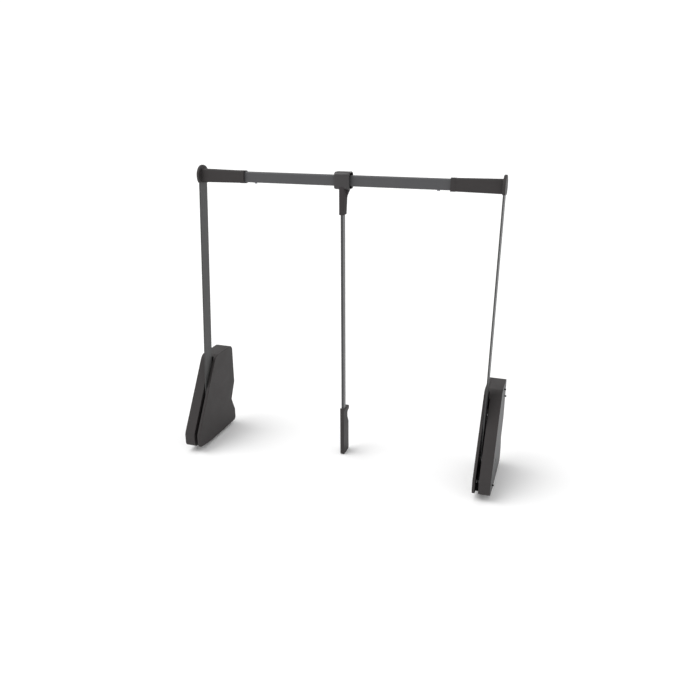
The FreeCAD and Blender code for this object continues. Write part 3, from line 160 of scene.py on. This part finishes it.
def makeBareSteel(name, look, base, pale, low, high, along):
    material, tree, place = startMaterial(name)
    scale = [1000 / look["line"]] * 3
    scale["XYZ".index(along)] /= look["stretch"]
    mapping = addNode(tree, "ShaderNodeMapping", {"Scale": scale}, {"Vector": place})
    lines = addNode(tree, "ShaderNodeTexNoise", {"Scale": 1, "Detail": 4, "Roughness": 0.65},
                    {"Vector": mapping.outputs[0]})
    cloud = addNode(tree, "ShaderNodeTexNoise", {"Scale": look["cloudScale"], "Detail": 3}, {"Vector": place})
    tint = mixColours(tree, cloud.outputs["Fac"], base, pale)
    gloss = spread(tree, lines.outputs["Fac"], low, high)
    relief = addNode(tree, "ShaderNodeBump", {"Strength": look["bump"], "Distance": look["bumpDepth"]},
                     {"Height": lines.outputs["Fac"]})
    shader = addNode(tree, "ShaderNodeBsdfPrincipled", {"Metallic": 1.0},
                     {"Base Color": tint, "Roughness": gloss, "Normal": relief.outputs[0]})
    return finishMaterial(material, tree, shader)


darkNylon = makeMouldedNylon("mouldedNylonDarkGrey", mouldedNylon)
# the collar shell and its socket are one moulding, drawn with two copies of the nylon tuned to the light: the
# shell glossier on a darker base so its top catches a brighter highlight, the socket matt, with almost no
# reflection, on a paler base so its side stays dull; the difference between the copies is painted light
collarNylonLitCopy = makeMouldedNylon("mouldedNylonLitCopy", {
    **mouldedNylon, "base": "#252223", "pale": "#2c292a", "roughness": (0.34, 0.44), "specular": 0.5})
socketNylonDullCopy = makeMouldedNylon("mouldedNylonDullCopy", {
    **mouldedNylon, "base": "#3b3839", "pale": "#423f40", "roughness": (0.62, 0.72), "specular": 0.02})
blackAcetal = makeMouldedNylon("acetalBlack", {    # unfilled and self lubricating, so waxy and smooth
    **mouldedNylon, "base": "#1a1a1b", "pale": "#202021", "roughness": (0.25, 0.33), "bump": 0.05})
naturalNylon = makeMouldedNylon("nylonNatural", {    # undyed, a warm off white
    **mouldedNylon, "base": "#cfccc0", "pale": "#dcd9cf", "bump": 0.1})
nitrileRubber = makeMouldedNylon("nitrileRubber", {    # moulded rubber, black with hardly a highlight
    **mouldedNylon, "base": "#161616", "pale": "#1d1d1d", "roughness": (0.7, 0.8)})

railCoat = makePowderCoat("powderCoatRail", powderCoat, "#434345", "#49494b")
armCoat = makePowderCoat("powderCoatArm", powderCoat, "#313131", "#373737")
# the bar's coat has flowed out more, so it shines a little
barCoat = makePowderCoat("powderCoatBar", {**powderCoat, "roughness": (0.28, 0.38), "specular": 0.55},
                         "#2d2d2f", "#333335")
# dip coat: thicker than powder, with broader waves and less shine
dipCoat = makePowderCoat("dipCoatWallPlate", {
    **powderCoat, "peel": 2.5, "roughness": (0.46, 0.56), "specular": 0.3}, "#3d3d3f", "#454547")

# the plates are passivated dark, the pegs blackened, and turned, cut and drawn steel stay bright
zincPlate = makeBareSteel("zincPlatedSheet", bareSteel, "#303032", "#39393b", 0.42, 0.55, "Z")
blackenedPeg = makeBareSteel("blackenedSteel", bareSteel, "#1f1f20", "#29292a", 0.35, 0.48, "X")
brightSteel = makeBareSteel("turnedSteel", bareSteel, "#a9a9ab", "#bdbdbf", 0.2, 0.32, "X")
springWire = makeBareSteel("drawnSpringWire", bareSteel, "#5d5c5e", "#6c6b6e", 0.3, 0.42, "Z")
gearSteel = makeBareSteel("cutSteel", bareSteel, "#77777a", "#8a8a8d", 0.28, 0.4, "X")
screwZinc = makeBareSteel("zincPlatedScrew", bareSteel, "#85858a", "#9a9aa0", 0.28, 0.4, "Z")
print("materials made")


# finishes for the carried pieces: one for each slot, and a few pieces with their own

slotMaterials = {
    "steel_plate": zincPlate, "dark_steel": armCoat, "bright_steel": brightSteel, "spring_steel": springWire,
    "gear_steel": gearSteel, "dark_plastic": darkNylon, "rail_steel": railCoat, "nylon": naturalNylon,
    "bush_plastic": blackAcetal, "stop_rubber": nitrileRubber, "screw_steel": screwZinc,
}
ownFinishes = {
    "handle_bar": barCoat, "left_wall_plate": dipCoat, "right_wall_plate": dipCoat,
    "left_wall_pegs": blackenedPeg, "right_wall_pegs": blackenedPeg,
}
for subpart in frame["record"]["subparts"]:
    finish = ownFinishes.get(subpart["node"], slotMaterials[subpart["material_slot"]])
    mesh = nodes[subpart["node"]].data
    if not mesh.materials:
        mesh.materials.append(finish)
    for slotIndex in range(len(mesh.materials)):
        mesh.materials[slotIndex] = finish
print("finishes given to the carried pieces")


# shaping helpers: every size is in millimetres from the rod's axis

rodAxis = Vector((470, -12.774, 692.051))
closeBy = 0.1    # places nearer than this count as the same
mergeWithin = 0.000002    # metres
cutWithin = 0.000001    # metres
facesUpFrom = 0.15    # a face is opened by a pocket if its normal leans at least this far up or down


def inPart(x, y, z):
    return (Vector((x, y, z)) + rodAxis) * millimetre


def fromRod(point):
    return point / millimetre - rodAxis


def vertsOf(items):
    return [item for item in items if isinstance(item, bmesh.types.BMVert)]


def openEdges(bm):
    return [edge for edge in bm.edges if len(edge.link_faces) == 1]


def edgeStep(edge):
    return (edge.verts[0].co - edge.verts[1].co) / millimetre


def acrossRod(edges):
    # edges that keep to one place along the rod
    return [edge for edge in edges if abs(edgeStep(edge).x) < closeBy]


def roundedFace(bm, corners, segments=6):
    # a flat face from (x, y, z, radius) corners, each rounded by its own radius
    points = [inPart(*corner[:3]) for corner in corners]
    verts = [bm.verts.new(point) for point in points]
    bm.faces.new(verts)
    for i, vert in enumerate(verts):
        radius = corners[i][3] * millimetre
        if radius:
            before, after = points[i - 1] - points[i], points[(i + 1) % len(points)] - points[i]
            reach = radius / math.tan(before.angle(after) / 2)
            bmesh.ops.bevel(bm, geom=[vert], offset=reach, offset_type="OFFSET", affect="VERTICES",
                            segments=segments, profile=0.5, material=-1)


def pullFace(bm, faces, step):
    # extrudes faces by a step and gives back the far ones
    result = bmesh.ops.extrude_face_region(bm, geom=faces)["geom"]
    bmesh.ops.translate(bm, vec=Vector(step) * millimetre, verts=vertsOf(result))
    return [item for item in result if isinstance(item, bmesh.types.BMFace)]


def turnOutwards(bm):
    bmesh.ops.recalc_face_normals(bm, faces=bm.faces)


def sawnShape(bm, corners, halfWidth, segments=6):
    # a plate along the rod, halfWidth to each side, from its (y, z, radius) outline
    roundedFace(bm, [(-halfWidth, y, z, radius) for y, z, radius in corners], segments)
    pullFace(bm, bm.faces[:], (2 * halfWidth, 0, 0))
    turnOutwards(bm)


def roundEdges(bm, edges, width, segments=4):
    bmesh.ops.bevel(bm, geom=edges, offset=width * millimetre, offset_type="OFFSET", affect="EDGES",
                    segments=segments, profile=0.5, material=-1, clamp_overlap=True)
    turnOutwards(bm)


def cutAcross(bm, point, normal):
    bmesh.ops.bisect_plane(bm, geom=bm.verts[:] + bm.edges[:] + bm.faces[:], plane_co=inPart(*point),
                           plane_no=normal, dist=cutWithin)


def sinkPocket(bm, halfWidth, front, back, opening, floorAt, facing):
    # a straight sided pocket, x within halfWidth and y from front to back, open up (1) or down (-1)
    # through the faces between the two heights of the opening
    for side in (-1, 1):
        cutAcross(bm, (side * halfWidth, 0, 0), (1, 0, 0))
    for y in (front, back):
        cutAcross(bm, (0, y, 0), (0, 1, 0))
    inside = []
    for face in bm.faces:
        centre = fromRod(face.calc_center_median())
        if (abs(centre.x) < halfWidth and front < centre.y < back
                and opening[0] < centre.z < opening[1] and face.normal.z * facing > facesUpFrom):
            inside.append(face)
    bmesh.ops.delete(bm, geom=inside, context="FACES_ONLY")
    loose = [edge for edge in bm.edges if not edge.link_faces]
    bmesh.ops.delete(bm, geom=loose, context="EDGES")
    wall = bmesh.ops.extrude_edge_only(bm, edges=openEdges(bm))["geom"]
    for vert in vertsOf(wall):
        vert.co.z = inPart(0, 0, floorAt).z
    bmesh.ops.contextual_create(bm, geom=openEdges(bm))


def joinInto(bm, part):
    # adds a finished shape to another one
    mesh = bpy.data.meshes.new("joinedShape")
    part.to_mesh(mesh)
    part.free()
    bm.from_mesh(mesh)
    bpy.data.meshes.remove(mesh)


def placePiece(name, mesh, body, material, nodesReplaced):
    mesh.materials.append(material)
    piece = bpy.data.objects.new(name, mesh)
    bpy.context.scene.collection.objects.link(piece)
    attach(piece, body)
    if nodesReplaced:
        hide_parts(*nodesReplaced)
    return piece


def finishPiece(bm, name, body, material, nodesReplaced, smoothAngle=35):
    bmesh.ops.remove_doubles(bm, verts=bm.verts, dist=mergeWithin)
    turnOutwards(bm)
    bmesh.ops.triangulate(bm, faces=[face for face in bm.faces if len(face.verts) > 4])
    mesh = bpy.data.meshes.new(name)
    bm.to_mesh(mesh)
    bm.free()
    mesh.shade_smooth()
    mesh.set_sharp_from_angle(angle=math.radians(smoothAngle))
    return placePiece(name, mesh, body, material, nodesReplaced)


# hand grip: a flat moulding with a horn at the back of its top, open above where the bar goes in

grip = {
    "halfWidth": 6, "rim": 1.9,
    "outline": [(-22.5, -829, 6), (23.6, -829, 6), (23.6, -733, 10), (13, -712, 10), (13, -696, 5),
                (28, -692, 4), (28, -679.2, 5), (-18.4, -679.5, 0), (-18.4, -673, 2), (-22.5, -673, 2)],
    "barHalf": 4.9, "barFront": -18.4, "barBack": 8, "opening": (-684, -677), "barFoot": -737,
}
bm = bmesh.new()
sawnShape(bm, grip["outline"], grip["halfWidth"])
roundEdges(bm, acrossRod(bm.edges), grip["rim"])
sinkPocket(bm, grip["barHalf"], grip["barFront"], grip["barBack"], grip["opening"], grip["barFoot"], 1)
finishPiece(bm, "handGrip", "pull_handle", darkNylon, ["grip"])
print("grip made")


# rod collar: a rounded box round the rod, hollow from both ends up to a middle web with a round bore,
# and below it the bar's socket with a flared gusset

collarShell = {
    "halfLength": 22, "front": -19.5, "back": 19, "low": -22.4, "high": 24,
    "topCorner": 12, "lowCorner": 8, "cornerSegments": 10,
    "rimRound": 2.2, "rimSegments": 6, "leftStretch": 2.5, "rimFlat": 0.2, "lip": 1.2,
    "cavity": (35.2, 42.6), "webHalf": 8, "boreRadius": 17.45, "boreSegments": 64, "boreStep": 0.6,
}
bm = bmesh.new()
sawnShape(bm, [(collarShell["front"], collarShell["low"], collarShell["lowCorner"]),
               (collarShell["back"], collarShell["low"], collarShell["lowCorner"]),
               (collarShell["back"], collarShell["high"], collarShell["topCorner"]),
               (collarShell["front"], collarShell["high"], collarShell["topCorner"])],
          collarShell["halfLength"], collarShell["cornerSegments"])
roundEdges(bm, acrossRod(bm.edges), collarShell["rimRound"], collarShell["rimSegments"])
leftEnd = inPart(-collarShell["halfLength"], 0, 0).x    # the left rim's rounding is drawn out along the rod
for vert in bm.verts:
    if vert.co.x < leftEnd + (collarShell["rimRound"] + closeBy) * millimetre:
        vert.co.x = leftEnd + (vert.co.x - leftEnd) * collarShell["leftStretch"]
turnOutwards(bm)
caps = [face for face in bm.faces if len(face.verts) > 4]    # the rounding between them is all quads
bmesh.ops.inset_region(bm, faces=caps, thickness=collarShell["rimFlat"] * millimetre, use_even_offset=True)
middle = inPart(0, (collarShell["front"] + collarShell["back"]) / 2,
                (collarShell["low"] + collarShell["high"]) / 2)
bores = []
for cap in caps:
    side = 1 if cap.normal.x > 0 else -1
    mouth = cap.edges[:]
    bmesh.ops.delete(bm, geom=[cap], context="FACES_ONLY")
    # a short lip, then the wider cavity down to the web
    lipEnd = collarShell["halfLength"] - collarShell["lip"]
    rounding = collarShell["rimRound"] * (collarShell["leftStretch"] if side < 0 else 1)
    for depth, widen in ((lipEnd, False), (lipEnd - rounding, True), (collarShell["webHalf"], False)):
        grown = bmesh.ops.extrude_edge_only(bm, edges=mouth)["geom"]
        mouth = [item for item in grown if isinstance(item, bmesh.types.BMEdge) and len(item.link_faces) == 1]
        ring = vertsOf(grown)
        for vert in ring:
            vert.co.x = inPart(side * depth, 0, 0).x
        if widen:
            across = [[vert.co[axis] for vert in ring] for axis in (1, 2)]
            ease = [wanted * millimetre / (max(places) - min(places))
                    for wanted, places in zip(collarShell["cavity"], across)]
            bmesh.ops.scale(bm, vec=(1, *ease), space=Matrix.Translation(-middle), verts=ring)
    boreEnd = side * (collarShell["webHalf"] - collarShell["boreStep"])
    circle = bmesh.ops.create_circle(bm, cap_ends=False, radius=collarShell["boreRadius"] * millimetre,
                                     segments=collarShell["boreSegments"],
                                     matrix=Matrix.Translation(inPart(boreEnd, 0, 0))
                                     @ Matrix.Rotation(math.radians(90), 4, "Y"))["verts"]
    bore = list({edge for vert in circle for edge in vert.link_edges})
    bmesh.ops.bridge_loops(bm, edges=mouth + bore)
    bores += bore
bmesh.ops.bridge_loops(bm, edges=bores)
turnOutwards(bm)

# socket for the bar
socket = {
    "halfWidth": 7, "edge": 2.5, "edgesBehind": 4, "edgesBefore": -19.4, "footRound": 1.5,
    "outline": [(-19.48, -9.6, 0), (-18.3, -9.2, 0), (-14.5, -13.5, 0), (-8, -18.2, 0), (0, -19.9, 0),
                (8, -18.3, 0), (12, -16, 0), (12, -47, 14), (5.5, -91, 0), (-19.48, -91, 0)],
    "foot": -91, "barHalf": 3.55, "barFront": -17.05, "barBack": 3.05, "opening": (-92, -90), "barTop": -37.5,
}
socketBm = bmesh.new()
sawnShape(socketBm, socket["outline"], socket["halfWidth"])
upright = []
for edge in acrossRod(socketBm.edges):
    ends = [fromRod(vert.co).y for vert in edge.verts]
    steep = abs(edgeStep(edge).z) > 0.5 * edge.calc_length() / millimetre
    if steep and (min(ends) > socket["edgesBehind"] or max(ends) < socket["edgesBefore"]):
        upright.append(edge)
roundEdges(socketBm, upright, socket["edge"])
foot = [edge for edge in socketBm.edges
        if all(fromRod(vert.co).z < socket["foot"] + closeBy for vert in edge.verts)]
roundEdges(socketBm, foot, socket["footRound"])
sinkPocket(socketBm, socket["barHalf"], socket["barFront"], socket["barBack"], socket["opening"],
           socket["barTop"], -1)
joinInto(bm, socketBm)

# gusset behind the socket, from its head on the collar down to the socket's back
gusset = {
    "halfOutline": [(13.5, -20.6), (13.5, -27), (12.4, -30), (10, -36), (8.1, -41), (7.2, -47), (6.6, -52),
                    (6, -62)],
    "middle": 8, "back": 15, "footBack": 9, "middleLift": 0.4, "backLift": 3.4,
    "edge": 1.0, "edgeSegments": 3, "shortest": 1.5,    # edges lower than the shortest stay sharp
}
headAt, shoulderAt, footAt = (gusset["halfOutline"][i][1] for i in (0, 1, -1))
gussetBm = bmesh.new()
roundedFace(gussetBm, [(x, 0, z, 0) for x, z in gusset["halfOutline"]]
            + [(-x, 0, z, 0) for x, z in reversed(gusset["halfOutline"])])
middleFaces = pullFace(gussetBm, gussetBm.faces[:], (0, gusset["middle"], 0))
pullFace(gussetBm, middleFaces, (0, gusset["back"] - gusset["middle"], 0))
bmesh.ops.delete(gussetBm, geom=middleFaces, context="FACES_ONLY")
for vert in gussetBm.verts:
    place = fromRod(vert.co)
    atMiddle = abs(place.y - gusset["middle"]) < closeBy
    atBack = place.y > gusset["middle"] + closeBy
    if place.z > headAt - closeBy:    # the head follows the collar's round back
        vert.co.z += (gusset["middleLift"] * atMiddle + gusset["backLift"] * atBack) * millimetre
    elif atBack and place.z < shoulderAt:
        share = (shoulderAt - place.z) / (shoulderAt - footAt)
        vert.co.y -= share * (gusset["back"] - gusset["footBack"]) * millimetre
turnOutwards(gussetBm)
flares = [edge for edge in gussetBm.edges
          if abs(edgeStep(edge).z) > gusset["shortest"]
          and all(abs(fromRod(vert.co).y - gusset["middle"]) > closeBy for vert in edge.verts)]
roundEdges(gussetBm, flares, gusset["edge"], gusset["edgeSegments"])
joinInto(bm, gussetBm)

collar = finishPiece(bm, "rodCollar", "pull_handle", collarNylonLitCopy, ["collar"])
# the faces below the shell's foot take the dull copy, so the socket's side reads darker than the shell's top:
# painted shade from the split
collar.data.materials.append(socketNylonDullCopy)
shellFoot = inPart(0, 0, collarShell["low"] - closeBy).z
for polygon in collar.data.polygons:
    polygon.material_index = 1 if polygon.center.z < shellFoot else 0
print("collar made")


# clamp screws under the rail: round heads with a hexagon socket, leaning with the rail
# each is shaped in millimetres about the rod's axis, head down, and then put in its place

clampScrew = {
    "places": (208, 732), "lean": 5.1, "seat": -15, "headRadius": 4, "headHeight": 2.8, "headEdge": 0.7,
    "headSegments": 48, "edgeSegments": 4, "socketRadius": 2.3, "socketDepth": 1.6,
    "shankRadius": 2.5, "shankLength": 1.65,
}
bm = bmesh.new()
for along in clampScrew["places"]:
    screw = bmesh.new()
    bmesh.ops.create_circle(screw, cap_ends=True, radius=clampScrew["headRadius"],
                            segments=clampScrew["headSegments"],
                            matrix=Matrix.Translation((0, 0, clampScrew["seat"])))
    head = bmesh.ops.extrude_face_region(screw, geom=screw.faces[:])["geom"]
    bmesh.ops.translate(screw, vec=(0, 0, -clampScrew["headHeight"]), verts=vertsOf(head))
    turnOutwards(screw)
    lowest = clampScrew["seat"] - clampScrew["headHeight"]
    lowRim = [edge for edge in screw.edges if all(vert.co.z < lowest + closeBy for vert in edge.verts)]
    bmesh.ops.bevel(screw, geom=lowRim, offset=clampScrew["headEdge"], offset_type="OFFSET", affect="EDGES",
                    segments=clampScrew["edgeSegments"], profile=0.5, material=-1)
    headCap = min(screw.faces, key=lambda face: face.calc_center_median().z)
    mouth = headCap.edges[:]
    bmesh.ops.delete(screw, geom=[headCap], context="FACES_ONLY")
    hexagon = bmesh.ops.create_circle(screw, cap_ends=False, radius=clampScrew["socketRadius"], segments=6,
                                      matrix=Matrix.Translation((0, 0, lowest)))["verts"]
    hexEdges = list({edge for vert in hexagon for edge in vert.link_edges})
    bmesh.ops.bridge_loops(screw, edges=mouth + hexEdges)
    deep = bmesh.ops.extrude_edge_only(screw, edges=hexEdges)["geom"]
    bmesh.ops.translate(screw, vec=(0, 0, clampScrew["socketDepth"]), verts=vertsOf(deep))
    bmesh.ops.contextual_create(screw, geom=openEdges(screw))
    topCap = max(screw.faces, key=lambda face: face.calc_center_median().z)
    bmesh.ops.inset_region(screw, faces=[topCap],
                           thickness=clampScrew["headRadius"] - clampScrew["shankRadius"])
    shank = bmesh.ops.extrude_face_region(screw, geom=[topCap])["geom"]
    bmesh.ops.translate(screw, vec=(0, 0, clampScrew["shankLength"]), verts=vertsOf(shank))
    bmesh.ops.delete(screw, geom=[topCap], context="FACES_ONLY")
    bmesh.ops.transform(screw, verts=screw.verts,
                        matrix=Matrix.Scale(millimetre, 4)
                        @ Matrix.Translation((along, rodAxis.y, rodAxis.z))
                        @ Matrix.Rotation(math.radians(-clampScrew["lean"]), 4, "X"))
    joinInto(bm, screw)
finishPiece(bm, "clampScrews", "rail", screwZinc, ["set_screws"])
print("clamp screws made")


# slot floors: a thin rounded wall of the case that closes the arm slot along the bottom, behind the toe

slotFloor = {
    "from": 32, "to": 42.2, "cornerSegments": 4,    # the two sides of the slot, from the wall
    "outline": [(-142, -120.75, 1), (-97.3, -126.35, 3), (56, -126.35, 1), (56, -124.1, 1), (-97, -124.1, 3),
                (-142, -118.6, 1)],
}
for side in ("left", "right"):
    bm = bmesh.new()
    start = slotFloor["from"] if side == "left" else 2 * rodAxis.x - slotFloor["to"]
    roundedFace(bm, [(start - rodAxis.x, y - rodAxis.y, z - rodAxis.z, radius)
                     for y, z, radius in slotFloor["outline"]], slotFloor["cornerSegments"])
    pullFace(bm, bm.faces[:], (slotFloor["to"] - slotFloor["from"], 0, 0))
    finishPiece(bm, side + "SlotFloor", side + "_housing", darkNylon, [])
print("slot floors made")


# return springs: the housings hold their upper ends, and in the real fitting the yokes press them shorter as
# the rod comes down; here each is a merged, smooth shaded copy that rides rigidly on its housing

for side in ("left", "right"):
    bm = bmesh.new()
    bm.from_mesh(nodes[side + "_springs"].data)
    bmesh.ops.remove_doubles(bm, verts=bm.verts, dist=mergeWithin)
    mesh = bpy.data.meshes.new(side + "ReturnSprings")
    bm.to_mesh(mesh)
    bm.free()
    mesh.shade_smooth()
    springs = placePiece(side + "ReturnSprings", mesh, side + "_housing", springWire,
                         [side + "_springs"])
    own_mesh(springs)
print("springs made")


# studio: pale floor, white walls under a dimmer ceiling, one broad soft light from the left

studio = {
    "floorHeight": -0.1372, "floorSize": 60, "floorColour": "#fbfbfb", "floorPale": "#fdfdfd",
    "walls": 1.08, "ceiling": 0.7, "ceilingFrom": 0.32, "ceilingFull": 0.6,
    "keyPlace": (-1.5, -0.8, 3.6), "keyAim": (0.45, 0.0, 0.1), "keySpread": 50, "keyStrength": 1.5,
}
bpy.ops.mesh.primitive_plane_add(size=studio["floorSize"],
                                 location=(rodAxis.x * millimetre, 0, studio["floorHeight"]))
floor = bpy.context.object
floor.name = "studioFloor"
floorMaterial, tree, place = startMaterial("mattWhiteFloor")
floorMottle = addNode(tree, "ShaderNodeTexNoise", {"Scale": 3, "Detail": 2}, {"Vector": place})
floorTint = mixColours(tree, floorMottle.outputs["Fac"], studio["floorColour"], studio["floorPale"])
floorShader = addNode(tree, "ShaderNodeBsdfDiffuse", links={"Color": floorTint})
floor.data.materials.append(finishMaterial(floorMaterial, tree, floorShader))

world = bpy.data.worlds.new("whiteStudio")
bpy.context.scene.world = world
world.use_nodes = True
skyTree = world.node_tree
direction = addNode(skyTree, "ShaderNodeSeparateXYZ",
                    links={0: addNode(skyTree, "ShaderNodeTexCoord").outputs["Generated"]})
brightness = spread(skyTree, direction.outputs["Z"], studio["walls"], studio["ceiling"],
                    studio["ceilingFrom"], studio["ceilingFull"])
sky = skyTree.nodes["Background"]
sky.inputs["Color"].default_value = (1, 1, 1, 1)
skyTree.links.new(brightness, sky.inputs["Strength"])

keyData = bpy.data.lights.new("keyLight", "SUN")
keyData.angle = math.radians(studio["keySpread"])
keyData.energy = studio["keyStrength"]
keyLight = bpy.data.objects.new("keyLight", keyData)
bpy.context.scene.collection.objects.link(keyLight)
keyLight.location = studio["keyPlace"]
aim = Vector(studio["keyAim"]) - Vector(studio["keyPlace"])
keyLight.rotation_euler = aim.to_track_quat("-Z", "Y").to_euler()

camera = {
    "place": (1.0820, -1.8049, 0.90155), "down": 20.30, "turn": 18.33, "lens": 35, "film": 36, "farthest": 50,
}
cameraData = bpy.data.cameras.new("camera")
cameraData.lens = camera["lens"]
cameraData.sensor_width = camera["film"]
cameraData.clip_end = camera["farthest"]
cameraObject = bpy.data.objects.new("camera", cameraData)
bpy.context.scene.collection.objects.link(cameraObject)
cameraObject.location = camera["place"]
cameraObject.rotation_euler = (math.radians(90 - camera["down"]), 0, math.radians(camera["turn"]))
bpy.context.scene.camera = cameraObject
bpy.context.scene.view_settings.view_transform = "Standard"
print("studio and camera set")
